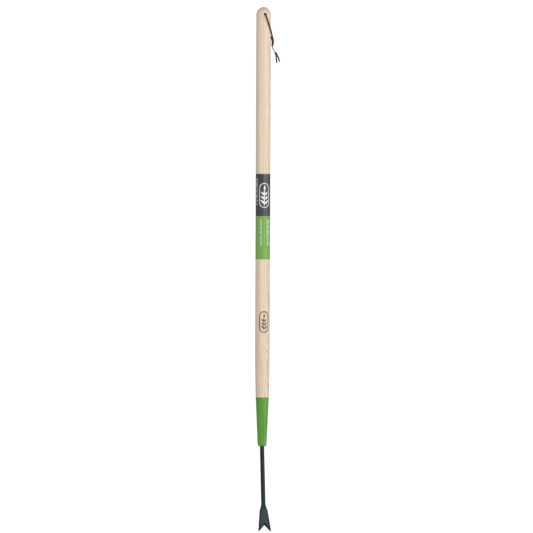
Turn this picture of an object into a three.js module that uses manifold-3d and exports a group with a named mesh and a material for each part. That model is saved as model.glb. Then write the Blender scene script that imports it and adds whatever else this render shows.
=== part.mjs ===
// Stand up weeder: a long ash handle with a leather hanging thong at its top and, at its foot, a forged
// steel weeding fork held by a tapered ferrule. Millimetres, +Z up along the handle, front towards -Y.
// The origin is the middle of the hanging hole, on the handle's axis, so heights below it are negative.

import * as THREE from 'three';
import { mergeVertices } from 'three/addons/utils/BufferGeometryUtils.js';
import Module from 'manifold-3d';

const wasm = await Module();
wasm.setup();

const GAP = 0.3; // clearance between pieces that touch
const SIDES = 40; // sides of the turned pieces
const REACH = 60; // half the size of a cutting block, larger than any piece is wide
const THROUGH = { depth: 2 * REACH, bevelEnabled: false, curveSegments: 6 };

// Handle
const HANDLE_R = 16;
const HANDLE_TOP = 16.3;
const DOME_HEIGHT = 18.5;
const DOME_STEPS = 7;
const TAPER_TOP = -728; // the handle is parallel down to here and then curves in to the ferrule
const TAPER_STEPS = 4;

// Hanging hole through the top of the handle, front to back
const HANG_HOLE_R = 3;
const HANG_HOLE_CHAMFER = 1;
const HANG_HOLE_SIDES = 24;

// Printed label film round the middle of the handle, in two colours
const FILM_THICK = 0.5;
const FILM_R = 15.95;
const FILM_TOP = -350.9;
const FILM_MIDDLE = -444.2;
const FILM_BOTTOM = -539;

// Ferrule
const FERRULE_TOP = -842.6;
const FERRULE_BOTTOM = -950;
const FERRULE_TOP_R = 14.3;
const FERRULE_FOOT_R = 9.6;
const FERRULE_CORNER_R = 3;
const FERRULE_CORNER_STEPS = 4;
const FERRULE_WALL = 1.2;
const RIM_HEIGHT = 3.2;
const RIM_PROUD = 0.25;
const RIM_CHAMFER = 0.4;

// Tenon of the handle inside the ferrule, and the bore in it for the tang
const TENON_BOTTOM = -940;
const TANG_TOP = -846;
const TANG_TIP_LENGTH = 12;
const TANG_TIP_R = 3;
const BORE_TIP_LENGTH = 3;

// Pin driven through the ferrule's back, the tenon and the tang
const PIN_R = 1.6;
const PIN_Z = -885;
const PIN_END_Y = -8;
const PIN_HEAD_R = 3.6;
const PIN_HEAD_HEIGHT = 1.5;
const PIN_TIP_CHAMFER = 0.5;
const PIN_SIDES = 14;

// Fork head: a round rod, bent a little forwards, drawn out into a flat forked blade
const ROD_R = 4.75;
const ROD_SIDES = 20;
const ROD_STEPS = 26;
const ROD_LEAN = THREE.MathUtils.degToRad(6.5);
const ROD_BEND_Z = -951;
const ROD_BEND_REACH = 8; // the bend is spread this far above and below
const SHOULDER_TOP = -1068; // the rod begins to flatten here
const SHOULDER_BOTTOM = -1094;
const SHOULDER_EASE = 16; // length over which the rod's front and back ease into the blade's faces
const FLARE_TOP = -1075; // the rod begins to widen here
const BLADE_LEAN = THREE.MathUtils.degToRad(14);
const TIP_Z = -1135.8;
const NOTCH_Z = -1122.3;
const SHOULDER_HALF_WIDTH = 9.45;
const TIP_HALF_WIDTH = 14.5;
const TIP_BLUNT = 2.4; // width of the prongs' blunt ends
const TIP_CORNER = 0.8;
const SHOULDER_THICK = 4.4;
const TIP_THICK = 2.4;

// Hanging thong: one lace through the hole, both strands led round the handle's right side to a knot
const LACE_R = 1.6;
const LACE_SIDES = 8;
const LOOP_STEPS = 44;
const TAIL_STEPS = 6;
const TAIL_STRAIGHT = 3.5; // a tail leaves the knot square to it for this far
const KNOT_LENGTH = 7.4;
const KNOT_R = 3.8;
const KNOT_BULGE = 1.15;
const KNOT_FLATNESS = 0.68;
const KNOT_SIDES = 16;
const KNOT_LEAN = THREE.MathUtils.degToRad(27);
const KNOT_CENTRE = [28, 0, -86];
// The front strand, from inside the hole to the knot. The back strand is its mirror image in y.
const STRAND_ROUTE = [
  [0, -7, 0],
  [0, -13.8, 0],
  [0.3, -17, -0.8],
  [1, -19.2, -2.9],
  [1.9, -20, -5.6],
  [4.5, -19.4, -12.8],
  [7.8, -17.6, -21.6],
  [11.3, -15.2, -30.4],
  [14.7, -11.7, -39.2],
  [17.8, -7.5, -48],
  [20.5, -5.5, -56],
  [21, -4.1, -62.8],
  [20.1, -3.2, -69],
  [21.8, -2.4, -75.4],
];
const RIGHT_TAIL_END = [36.2, -2.6, -103.8];
const LEFT_TAIL_END = [31, 3.2, -106.5];

function material(color, roughness, metalness = 0) {
  return new THREE.MeshStandardMaterial({ color, roughness, metalness });
}

const ash = material(0xd6c0a0, 0.6);
const greyFilm = material(0x5c5b61, 0.45);
const greenFilm = material(0x86ad62, 0.45);
const greenEnamel = material(0x649e46, 0.3);
const forgedSteel = material(0x3a484c, 0.5, 0.6);
const brightSteel = material(0x9a9c9e, 0.35, 1);
const leather = material(0x4a3626, 0.75);

// A closed geometry as a manifold solid.
function solidOf(geometry) {
  const bare = geometry.clone();
  bare.deleteAttribute('normal');
  bare.deleteAttribute('uv');
  const merged = mergeVertices(bare, 1e-4);
  const corners = merged.index.array;
  const kept = [];
  for (let i = 0; i < corners.length; i += 3) {
    const [a, b, c] = corners.slice(i, i + 3);
    if (a !== b && b !== c && c !== a) kept.push(a, b, c);
  }
  const mesh = new wasm.Mesh({
    numProp: 3,
    vertProperties: merged.attributes.position.array,
    triVerts: new Uint32Array(kept),
  });
  return new wasm.Manifold(mesh);
}

function geometryOf(solid) {
  const mesh = solid.getMesh();
  const geometry = new THREE.BufferGeometry();
  geometry.setAttribute('position', new THREE.BufferAttribute(mesh.vertProperties, 3));
  geometry.setIndex(new THREE.BufferAttribute(mesh.triVerts, 1));
  geometry.computeVertexNormals();
  return geometry;
}

function named(name, solid, look) {
  const mesh = new THREE.Mesh(geometryOf(solid), look);
  mesh.name = name;
  return mesh;
}

// A solid turned about the Z axis from [radius, z] points that run up the outside.
function turned(points, sides = SIDES) {
  const profile = points.map(([r, z]) => new THREE.Vector2(r, z));
  return solidOf(new THREE.LatheGeometry(profile, sides).rotateX(Math.PI / 2));
}

// A round bar along Y, from y0 to y1, at height z.
function barAlongY(radius, y0, y1, z, sides = PIN_SIDES) {
  const bar = new THREE.CylinderGeometry(radius, radius, y1 - y0, sides);
  return solidOf(bar.translate(0, (y0 + y1) / 2, z));
}

// An outline drawn in x and z, extruded right through along Y.
function throughFront(outline) {
  const slab = new THREE.ExtrudeGeometry(outline, THROUGH);
  return solidOf(slab.rotateX(Math.PI / 2).translate(0, REACH, 0));
}

// A profile drawn in y and z, extruded right through along X.
function throughSide(profile) {
  const slab = new THREE.ExtrudeGeometry(profile, THROUGH);
  const turn = new THREE.Matrix4().set(0, 0, 1, -REACH, 1, 0, 0, 0, 0, 1, 0, 0, 0, 0, 0, 1);
  return solidOf(slab.applyMatrix4(turn));
}

// A round tube along a smooth curve through the points.
function tubeAlong(points, radius, sides, steps) {
  const curve = new THREE.CatmullRomCurve3(points.map((p) => new THREE.Vector3(...p)));
  const section = new THREE.Shape();
  for (let i = 0; i < sides; i += 1) {
    const angle = ((i + 0.5) / sides) * 2 * Math.PI;
    const place = [radius * Math.cos(angle), radius * Math.sin(angle)];
    if (i === 0) section.moveTo(...place);
    else section.lineTo(...place);
  }
  section.closePath();
  return solidOf(new THREE.ExtrudeGeometry(section, { steps, extrudePath: curve }));
}

const mirrored = ([x, y, z]) => [x, -y, z];

// The ferrule's outer radius at a height on its cone.
function coneRadius(z) {
  const share = (z - FERRULE_BOTTOM) / (FERRULE_TOP - FERRULE_BOTTOM);
  return THREE.MathUtils.lerp(FERRULE_FOOT_R, FERRULE_TOP_R, share);
}

function domePoints() {
  const points = [];
  for (let i = 0; i <= DOME_STEPS; i += 1) {
    const angle = (i / DOME_STEPS) * (Math.PI / 2);
    const z = HANDLE_TOP - DOME_HEIGHT * (1 - Math.sin(angle));
    points.push([i === DOME_STEPS ? 0 : HANDLE_R * Math.cos(angle), z]);
  }
  return points;
}

// Where the handle narrows to the ferrule, it follows a long arc that starts parallel to the axis.
function taperPoints() {
  const points = [];
  for (let i = TAPER_STEPS; i >= 0; i -= 1) {
    const share = i / TAPER_STEPS;
    const r = HANDLE_R - (HANDLE_R - FERRULE_TOP_R) * share ** 2;
    points.push([r, THREE.MathUtils.lerp(TAPER_TOP, FERRULE_TOP + GAP, share)]);
  }
  return points;
}

function handle() {
  const boreR = ROD_R + GAP;
  const tenonInset = FERRULE_WALL + GAP;
  const recessR = FILM_R - FILM_THICK - GAP;
  const blank = turned([
    [0, TANG_TOP + GAP + BORE_TIP_LENGTH],
    [boreR, TANG_TOP + GAP],
    [boreR, TENON_BOTTOM],
    [coneRadius(TENON_BOTTOM) - tenonInset, TENON_BOTTOM],
    [coneRadius(FERRULE_TOP + GAP) - tenonInset, FERRULE_TOP + GAP],
    ...taperPoints(),
    [HANDLE_R, FILM_BOTTOM - GAP],
    [recessR, FILM_BOTTOM - GAP],
    [recessR, FILM_TOP + GAP],
    [HANDLE_R, FILM_TOP + GAP],
    ...domePoints(),
  ]);
  const hole = barAlongY(HANG_HOLE_R, -REACH, REACH, 0, HANG_HOLE_SIDES);
  const mouthR = HANG_HOLE_R + HANG_HOLE_CHAMFER;
  const past = 1; // the flare goes on this far outside the handle
  const flareLength = HANG_HOLE_CHAMFER + past;
  const flare = new THREE.CylinderGeometry(HANG_HOLE_R, mouthR + past, flareLength, HANG_HOLE_SIDES);
  const flareY = HANDLE_R - (HANG_HOLE_CHAMFER - past) / 2;
  const backMouth = flare.clone().rotateX(Math.PI).translate(0, flareY, 0);
  const frontMouth = flare.translate(0, -flareY, 0);
  return blank
    .subtract(hole)
    .subtract(solidOf(frontMouth))
    .subtract(solidOf(backMouth))
    .subtract(barAlongY(PIN_R + GAP, PIN_END_Y - GAP, REACH, PIN_Z));
}

function labelBand(top, bottom) {
  const innerR = FILM_R - FILM_THICK;
  return turned([
    [innerR, bottom],
    [FILM_R, bottom],
    [FILM_R, top],
    [innerR, top],
    [innerR, bottom],
  ]);
}

function ferrule() {
  const rodHoleR = ROD_R + GAP;
  const floorZ = FERRULE_BOTTOM + FERRULE_WALL;
  const corner = [];
  for (let i = 0; i <= FERRULE_CORNER_STEPS; i += 1) {
    const angle = (i / FERRULE_CORNER_STEPS) * (Math.PI / 2);
    corner.push([
      FERRULE_FOOT_R - FERRULE_CORNER_R * (1 - Math.sin(angle)),
      FERRULE_BOTTOM + FERRULE_CORNER_R * (1 - Math.cos(angle)),
    ]);
  }
  const rimZ = FERRULE_TOP - RIM_HEIGHT;
  const shell = turned([
    [rodHoleR, FERRULE_BOTTOM],
    ...corner,
    [coneRadius(rimZ), rimZ],
    [coneRadius(rimZ) + RIM_PROUD, rimZ + RIM_CHAMFER],
    [FERRULE_TOP_R + RIM_PROUD, FERRULE_TOP - RIM_CHAMFER],
    [FERRULE_TOP_R, FERRULE_TOP],
    [FERRULE_TOP_R - FERRULE_WALL, FERRULE_TOP],
    [coneRadius(floorZ + FERRULE_CORNER_R) - FERRULE_WALL, floorZ + FERRULE_CORNER_R],
    [FERRULE_FOOT_R - FERRULE_CORNER_R, floorZ],
    [rodHoleR, floorZ],
    [rodHoleR, FERRULE_BOTTOM],
  ]);
  return shell.subtract(barAlongY(PIN_R + GAP, 0, REACH, PIN_Z));
}

function tangPin() {
  const underHead = coneRadius(PIN_Z) + GAP;
  const pin = new THREE.LatheGeometry(
    [
      [0, PIN_END_Y],
      [PIN_R, PIN_END_Y + PIN_TIP_CHAMFER],
      [PIN_R, underHead],
      [PIN_HEAD_R, underHead],
      [PIN_HEAD_R * 0.9, underHead + PIN_HEAD_HEIGHT * 0.55],
      [PIN_HEAD_R * 0.55, underHead + PIN_HEAD_HEIGHT * 0.9],
      [0, underHead + PIN_HEAD_HEIGHT],
    ].map(([r, y]) => new THREE.Vector2(r, y)),
    PIN_SIDES,
  );
  return solidOf(pin.translate(0, 0, PIN_Z));
}

// The middle line of the fork head, in y, at a height: straight in the handle, then leaning forwards.
function headY(z) {
  if (z > ROD_BEND_Z) return 0;
  if (z > SHOULDER_TOP) return (z - ROD_BEND_Z) * Math.tan(ROD_LEAN);
  const middleLean = (ROD_LEAN + BLADE_LEAN) / 2;
  const shoulderY = headY(SHOULDER_TOP + 1e-6);
  if (z > SHOULDER_BOTTOM) return shoulderY + (z - SHOULDER_TOP) * Math.tan(middleLean);
  return headY(SHOULDER_BOTTOM + 1e-6) + (z - SHOULDER_BOTTOM) * Math.tan(BLADE_LEAN);
}

// Seen from the front: narrower than the rod at the top, flaring at the shoulder, forked at the foot.
function bladeOutline() {
  const hidden = ROD_R * 0.7; // inside the rod, so that the rod's own round side shows above the flare
  const side = SHOULDER_HALF_WIDTH;
  const low = SHOULDER_BOTTOM;
  const neckHandle = [ROD_R + 0.4, low + 11];
  const sideHandle = [side - 1.2, low + 6];
  const outline = new THREE.Shape();
  outline.moveTo(-hidden, SHOULDER_TOP);
  outline.lineTo(hidden, SHOULDER_TOP);
  outline.lineTo(hidden, FLARE_TOP);
  outline.bezierCurveTo(...neckHandle, ...sideHandle, side, low);
  outline.lineTo(TIP_HALF_WIDTH, TIP_Z + TIP_CORNER);
  outline.lineTo(TIP_HALF_WIDTH - TIP_CORNER, TIP_Z);
  outline.lineTo(TIP_HALF_WIDTH - TIP_BLUNT, TIP_Z);
  outline.lineTo(0, NOTCH_Z);
  outline.lineTo(TIP_BLUNT - TIP_HALF_WIDTH, TIP_Z);
  outline.lineTo(TIP_CORNER - TIP_HALF_WIDTH, TIP_Z);
  outline.lineTo(-TIP_HALF_WIDTH, TIP_Z + TIP_CORNER);
  outline.lineTo(-side, low);
  outline.bezierCurveTo(-sideHandle[0], sideHandle[1], -neckHandle[0], neckHandle[1], -hidden, FLARE_TOP);
  outline.closePath();
  return outline;
}

// Seen from the side: wide of the rod above the shoulder, then thinning to two flat faces.
function headProfile() {
  const along = new THREE.Vector2(-Math.sin(BLADE_LEAN), -Math.cos(BLADE_LEAN));
  const back = new THREE.Vector2(Math.cos(BLADE_LEAN), -Math.sin(BLADE_LEAN));
  const shoulder = new THREE.Vector2(headY(SHOULDER_BOTTOM), SHOULDER_BOTTOM);
  const tip = shoulder.clone().addScaledVector(along, (SHOULDER_BOTTOM - TIP_Z) / Math.cos(BLADE_LEAN) + 4);
  const beside = (point, half) => point.clone().addScaledVector(back, half);
  const wide = ROD_R + 2;
  const neckY = headY(SHOULDER_TOP);
  const neckZ = SHOULDER_TOP + 6;
  const backTop = beside(shoulder, SHOULDER_THICK / 2);
  const frontTop = beside(shoulder, -SHOULDER_THICK / 2);
  const profile = new THREE.Shape();
  profile.moveTo(REACH, 0);
  profile.lineTo(REACH, ROD_BEND_Z);
  profile.lineTo(neckY + wide, neckZ);
  const backHandle = backTop.clone().addScaledVector(along, -SHOULDER_EASE);
  profile.quadraticCurveTo(backHandle.x, backHandle.y, backTop.x, backTop.y);
  profile.lineTo(...beside(tip, TIP_THICK / 2).toArray());
  profile.lineTo(...beside(tip, -TIP_THICK / 2).toArray());
  profile.lineTo(frontTop.x, frontTop.y);
  const frontHandle = frontTop.clone().addScaledVector(along, -SHOULDER_EASE);
  profile.quadraticCurveTo(frontHandle.x, frontHandle.y, neckY - wide, neckZ);
  profile.lineTo(-REACH, ROD_BEND_Z);
  profile.lineTo(-REACH, 0);
  profile.closePath();
  return profile;
}

function forkHead() {
  const tipFoot = TANG_TOP - TANG_TIP_LENGTH;
  const heights = [
    tipFoot,
    (tipFoot + ROD_BEND_Z) / 2,
    ROD_BEND_Z + ROD_BEND_REACH,
    ROD_BEND_Z - ROD_BEND_REACH,
    THREE.MathUtils.lerp(ROD_BEND_Z, SHOULDER_TOP, 0.4),
    THREE.MathUtils.lerp(ROD_BEND_Z, SHOULDER_TOP, 0.75),
    SHOULDER_TOP,
    SHOULDER_BOTTOM,
  ];
  const route = heights.map((z) => [0, headY(z), z]);
  const rod = tubeAlong(route, ROD_R, ROD_SIDES, ROD_STEPS);
  const tipR = ROD_R * 0.99; // just inside the rod, which it runs into
  const tip = turned(
    [
      [0, tipFoot - 1],
      [tipR, tipFoot - 1],
      [tipR, tipFoot],
      [TANG_TIP_R, TANG_TOP],
      [0, TANG_TOP],
    ],
    ROD_SIDES,
  );
  return rod
    .add(tip)
    .add(throughFront(bladeOutline()))
    .intersect(throughSide(headProfile()))
    .subtract(barAlongY(PIN_R + GAP, -REACH, REACH, PIN_Z));
}

// A point on or beside the knot: along its axis from its centre, and out in y.
function atKnot(along, y) {
  const [x, , z] = KNOT_CENTRE;
  return [x + along * Math.sin(KNOT_LEAN), y, z - along * Math.cos(KNOT_LEAN)];
}

function thongLoop() {
  const strand = [...STRAND_ROUTE, atKnot(-KNOT_LENGTH / 2 - GAP, -LACE_R - GAP)];
  const route = [...strand.map(mirrored).reverse(), ...strand];
  return tubeAlong(route, LACE_R, LACE_SIDES, LOOP_STEPS);
}

function thongKnot() {
  const half = KNOT_LENGTH / 2;
  const barrel = turned(
    [
      [0, -half],
      [KNOT_R, -half],
      [KNOT_R * KNOT_BULGE, 0],
      [KNOT_R, half],
      [0, half],
    ],
    KNOT_SIDES,
  );
  return barrel
    .scale([KNOT_FLATNESS, 1, 1])
    .rotate([0, -THREE.MathUtils.radToDeg(KNOT_LEAN), 0])
    .translate(KNOT_CENTRE);
}

function thongTail(startY, end) {
  const leaving = KNOT_LENGTH / 2 + GAP;
  const route = [atKnot(leaving, startY), atKnot(leaving + TAIL_STRAIGHT, startY * 1.1), end];
  return tubeAlong(route, LACE_R, LACE_SIDES, TAIL_STEPS);
}

const weeder = new THREE.Group();
weeder.name = 'stand_up_weeder';
weeder.add(
  named('handle', handle(), ash),
  named('label_band_grey', labelBand(FILM_TOP, FILM_MIDDLE + GAP / 2), greyFilm),
  named('label_band_green', labelBand(FILM_MIDDLE - GAP / 2, FILM_BOTTOM), greenFilm),
  named('ferrule', ferrule(), greenEnamel),
  named('tang_pin', tangPin(), brightSteel),
  named('fork_head', forkHead(), forgedSteel),
  named('thong_loop', thongLoop(), leather),
  named('thong_knot', thongKnot(), leather),
  named('thong_tail_right', thongTail(-LACE_R - GAP, RIGHT_TAIL_END), leather),
  named('thong_tail_left', thongTail(LACE_R + GAP, LEFT_TAIL_END), leather),
);

export default weeder;
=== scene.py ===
"""Stand up weeder: a long ash handle with a leather hanging thong at its top and, held by a green ferrule at
its foot, a forged weeding fork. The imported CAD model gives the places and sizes, and this script builds the
pieces that are seen. Lengths are in metres, +Z is up along the handle and the front is towards -Y."""

import math
import bmesh
import bpy
from mathutils import Matrix, Vector, noise


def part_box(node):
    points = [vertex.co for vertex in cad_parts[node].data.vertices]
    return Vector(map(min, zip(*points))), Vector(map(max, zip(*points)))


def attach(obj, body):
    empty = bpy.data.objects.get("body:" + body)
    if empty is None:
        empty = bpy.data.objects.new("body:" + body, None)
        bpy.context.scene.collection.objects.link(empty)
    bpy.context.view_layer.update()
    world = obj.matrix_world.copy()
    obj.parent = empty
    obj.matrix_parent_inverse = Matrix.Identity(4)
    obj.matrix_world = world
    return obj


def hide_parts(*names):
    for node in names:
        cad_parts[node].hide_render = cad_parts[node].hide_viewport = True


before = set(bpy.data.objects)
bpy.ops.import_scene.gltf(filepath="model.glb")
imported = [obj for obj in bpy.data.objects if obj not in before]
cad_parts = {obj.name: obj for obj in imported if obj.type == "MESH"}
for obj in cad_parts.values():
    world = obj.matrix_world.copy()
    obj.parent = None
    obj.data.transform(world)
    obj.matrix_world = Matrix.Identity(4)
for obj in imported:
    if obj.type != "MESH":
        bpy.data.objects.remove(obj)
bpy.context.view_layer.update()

MM = 0.001
UP = Vector((0, 0, 1))

# What the CAD nodes give
HANDLE_LOW, HANDLE_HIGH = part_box("handle")
GREY_LOW, GREY_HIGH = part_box("label_band_grey")
GREEN_LOW, GREEN_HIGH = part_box("label_band_green")
FERRULE_LOW, FERRULE_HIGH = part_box("ferrule")
PIN_LOW, PIN_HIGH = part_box("tang_pin")
FORK_LOW, FORK_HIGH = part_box("fork_head")
KNOT_CENTRE = sum(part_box("thong_knot"), Vector()) / 2

# Handle
HANDLE_R = HANDLE_HIGH.x
DOME_HEIGHT = 18.5 * MM
DOME_BASE = HANDLE_HIGH.z - DOME_HEIGHT
TAPER_TOP = -728 * MM
HOLE_R = 3 * MM
HOLE_EDGE = 0.9 * MM  # radius of the rounding at the hole's mouths

# Ferrule
RIM_HEIGHT = 3.2 * MM
RIM_PROUD = 0.25 * MM
BEAD_LOW = FERRULE_HIGH.z - RIM_HEIGHT
FERRULE_TOP_R = FERRULE_HIGH.x - RIM_PROUD
FERRULE_FOOT_R = 9.6 * MM
FERRULE_CORNER = 3 * MM
FERRULE_WALL = 1.2 * MM
SEAM_ANGLE = math.radians(214)  # turned from the front towards +X, so the seam is at the back

# Fork head
ROD_R = 4.75 * MM
TANG_TIP_R = 3 * MM
TANG_TIP_LENGTH = 12 * MM
ROD_BEND = -951 * MM
BEND_REACH = 8 * MM  # the bend is spread this far above and below
STRAIGHT_END = ROD_BEND + 10 * MM  # the rod is straight and upright above here
ROD_LEAN = math.radians(6.5)
SHOULDER_TOP = -1068 * MM
FLARE_TOP = -1075 * MM
SHOULDER = -1094 * MM
BLADE_LEAN = math.radians(14)
NOTCH = -1122.3 * MM
SHOULDER_HALF_WIDTH = 9.45 * MM
TIP_HALF_WIDTH = FORK_HIGH.x
TIP_BLUNT = 2.4 * MM  # width of the prongs' blunt ends
TIP_CORNER = 0.8 * MM
SHOULDER_THICK = 4.4 * MM
TIP_THICK = 2.4 * MM
EDGE_THICK = 0.5 * MM
BEVEL = 4.2 * MM  # height of the ground bevel along the notch, measured up the blade

# Pin
PIN_R = 1.6 * MM
PIN_SIDES = 40
PIN_HEAD_R = PIN_HIGH.x

# Thong
LACE_WIDTH = 3.2 * MM
LACE_THICK = 1.3 * MM
KNOT_LEAN = math.radians(27)
KNOT_ALONG = Vector((math.sin(KNOT_LEAN), 0, -math.cos(KNOT_LEAN)))
KNOT_FACE = Vector((math.cos(KNOT_LEAN), 0, math.sin(KNOT_LEAN)))
KNOT_SIDE = Vector((0, 1, 0))
# The front strand's route in millimetres, from the middle of the hanging hole to the knot. The back strand's
# is its mirror image in y.
STRAND_ROUTE = [
    (0, -0.05, 0),
    (0, -7, 0),
    (0, -13.8, 0),
    (0.3, -17, -0.8),
    (1, -19.2, -2.9),
    (1.9, -20, -5.6),
    (4.5, -19.4, -12.8),
    (7.8, -17.6, -21.6),
    (11.3, -15.2, -30.4),
    (14.7, -11.7, -39.2),
    (17.8, -7.5, -48),
    (20.5, -5.5, -56),
    (21.0, -4.1, -62.8),
    (20.1, -3.2, -69),
    (21.8, -2.4, -75.4),
]
# In millimetres along the knot's axis and out in y, and as a share of the strand's splay across the knot
KNOT_ROUTE = [(-4.0, -1.9, 0), (0, -1.35, 0.05), (3.6, -1.7, 0.45), (7.0, -2.0, 1)]
RIGHT_SPLAY = 0.7
LEFT_SPLAY = -2.1
RIGHT_TAIL_END = (36.2, -2.6, -103.8)
LEFT_TAIL_END = (31, 3.2, -106.5)

# Camera
VIEW_AZIMUTH = math.radians(-13.5)
VIEW_ROLL = math.radians(0.21)
VIEW_DISTANCE = 18
VIEW_WIDTH = 1172.6 * MM  # what the frame spans at the handle
VIEW_RIGHT_OF_HANDLE = 8.4 * MM
VIEW_ABOVE_MIDDLE = 5.1 * MM


def add_camera():
    camera = new_object("camera", bpy.data.cameras.new("camera"))
    camera.data.lens = camera.data.sensor_width * VIEW_DISTANCE / VIEW_WIDTH
    camera.data.clip_end = 100
    right = Vector((math.cos(VIEW_AZIMUTH), math.sin(VIEW_AZIMUTH), 0))
    back = Vector((math.sin(VIEW_AZIMUTH), -math.cos(VIEW_AZIMUTH), 0))
    rolled_right = right * math.cos(VIEW_ROLL) + UP * math.sin(VIEW_ROLL)
    rolled_up = UP * math.cos(VIEW_ROLL) - right * math.sin(VIEW_ROLL)
    middle = (HANDLE_HIGH.z + FORK_LOW.z) / 2 + VIEW_ABOVE_MIDDLE
    target = Vector((0, 0, middle)) + rolled_right * VIEW_RIGHT_OF_HANDLE
    turn = Matrix((rolled_right, rolled_up, back)).transposed().to_4x4()
    camera.matrix_world = Matrix.Translation(target + back * VIEW_DISTANCE) @ turn
    bpy.context.scene.camera = camera


# -------------------- mesh helpers


def smooth(value, low, high):
    """0 below low, 1 above high, and a smooth step between them. low may be the larger."""
    share = min(max((value - low) / (high - low), 0), 1)
    return share * share * (3 - 2 * share)


def lerp(a, b, share):
    return a + (b - a) * share


def spread(start, end, count):
    """Values at count even steps from start to end, with both ends among them."""
    return [lerp(start, end, i / count) for i in range(count + 1)]


def loft(rings, closed=False, strip_ends=False):
    """Vertices and faces of a skin through rings of points. A ring of one point closes an end to a tip. A
    longer ring at an end gets a flat face, or with strip_ends a strip of faces between its first half and
    its second. closed joins the last ring to the first instead."""
    vertices = [point for ring in rings for point in ring]
    starts = [0]
    for ring in rings:
        starts.append(starts[-1] + len(ring))
    faces = []
    pairs = list(zip(range(len(rings)), range(1, len(rings))))
    if closed:
        pairs.append((len(rings) - 1, 0))
    for a, b in pairs:
        count = max(len(rings[a]), len(rings[b]))
        for i in range(count):
            j = (i + 1) % count
            if len(rings[a]) == 1:
                faces.append((starts[a], starts[b] + j, starts[b] + i))
            elif len(rings[b]) == 1:
                faces.append((starts[a] + i, starts[a] + j, starts[b]))
            else:
                faces.append((starts[a] + i, starts[a] + j, starts[b] + j, starts[b] + i))
    ends = [] if closed else [(rings[0], starts[0]), (rings[-1], starts[-2])]
    for ring, start in ends:
        last = start + len(ring) - 1
        if strip_ends:
            faces += [(start + k, start + k + 1, last - k - 1, last - k) for k in range(len(ring) // 2 - 1)]
        elif last > start:
            faces.append(tuple(range(start, last + 1)))
    return vertices, faces


def join(skins):
    """Several skins as one."""
    vertices = []
    faces = []
    for points, polygons in skins:
        faces += [tuple(len(vertices) + i for i in polygon) for polygon in polygons]
        vertices += points
    return vertices, faces


def new_object(name, data):
    thing = bpy.data.objects.new(name, data)
    bpy.context.scene.collection.objects.link(thing)
    return thing


def make(name, skin, material, replaced=(), body="tool", sharp=40):
    """A mesh piece that rides on a body. Edges sharper than that many degrees are left sharp."""
    vertices, faces = skin
    mesh = bpy.data.meshes.new(name)
    mesh.from_pydata([tuple(v) for v in vertices], [], faces)
    work = bmesh.new()
    work.from_mesh(mesh)
    bmesh.ops.remove_doubles(work, verts=work.verts, dist=0.0005 * MM)
    bmesh.ops.recalc_face_normals(work, faces=work.faces)
    for face in work.faces:
        face.smooth = True
    for edge in work.edges:
        edge.smooth = edge.calc_face_angle(0) < math.radians(sharp)
    work.to_mesh(mesh)
    work.free()
    mesh.materials.append(material)
    piece = new_object(name, mesh)
    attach(piece, body)
    if replaced:
        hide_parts(*replaced)
    return piece


def store(piece, name, values):
    """Keep a number for each vertex of a piece, for its material to read."""
    if len(values) != len(piece.data.vertices):
        raise ValueError(f"{name}: {len(values)} values")
    piece.data.attributes.new(name, "FLOAT", "POINT").data.foreach_set("value", values)


def on_axis(radius, angle, z):
    """A point at that radius and height, turned by angle from the front towards +X."""
    return Vector((radius * math.sin(angle), -radius * math.cos(angle), z))


def even_angles(count):
    return [2 * math.pi * i / count for i in range(count)]


# -------------------- materials


def srgb(red, green, blue):
    """A colour given as it looks on a screen, 0 to 255, as Blender's linear colour."""
    linear = []
    for part in (red, green, blue):
        share = part / 255
        linear.append(share / 12.92 if share <= 0.04045 else ((share + 0.055) / 1.055) ** 2.4)
    return (*linear, 1)


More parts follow.
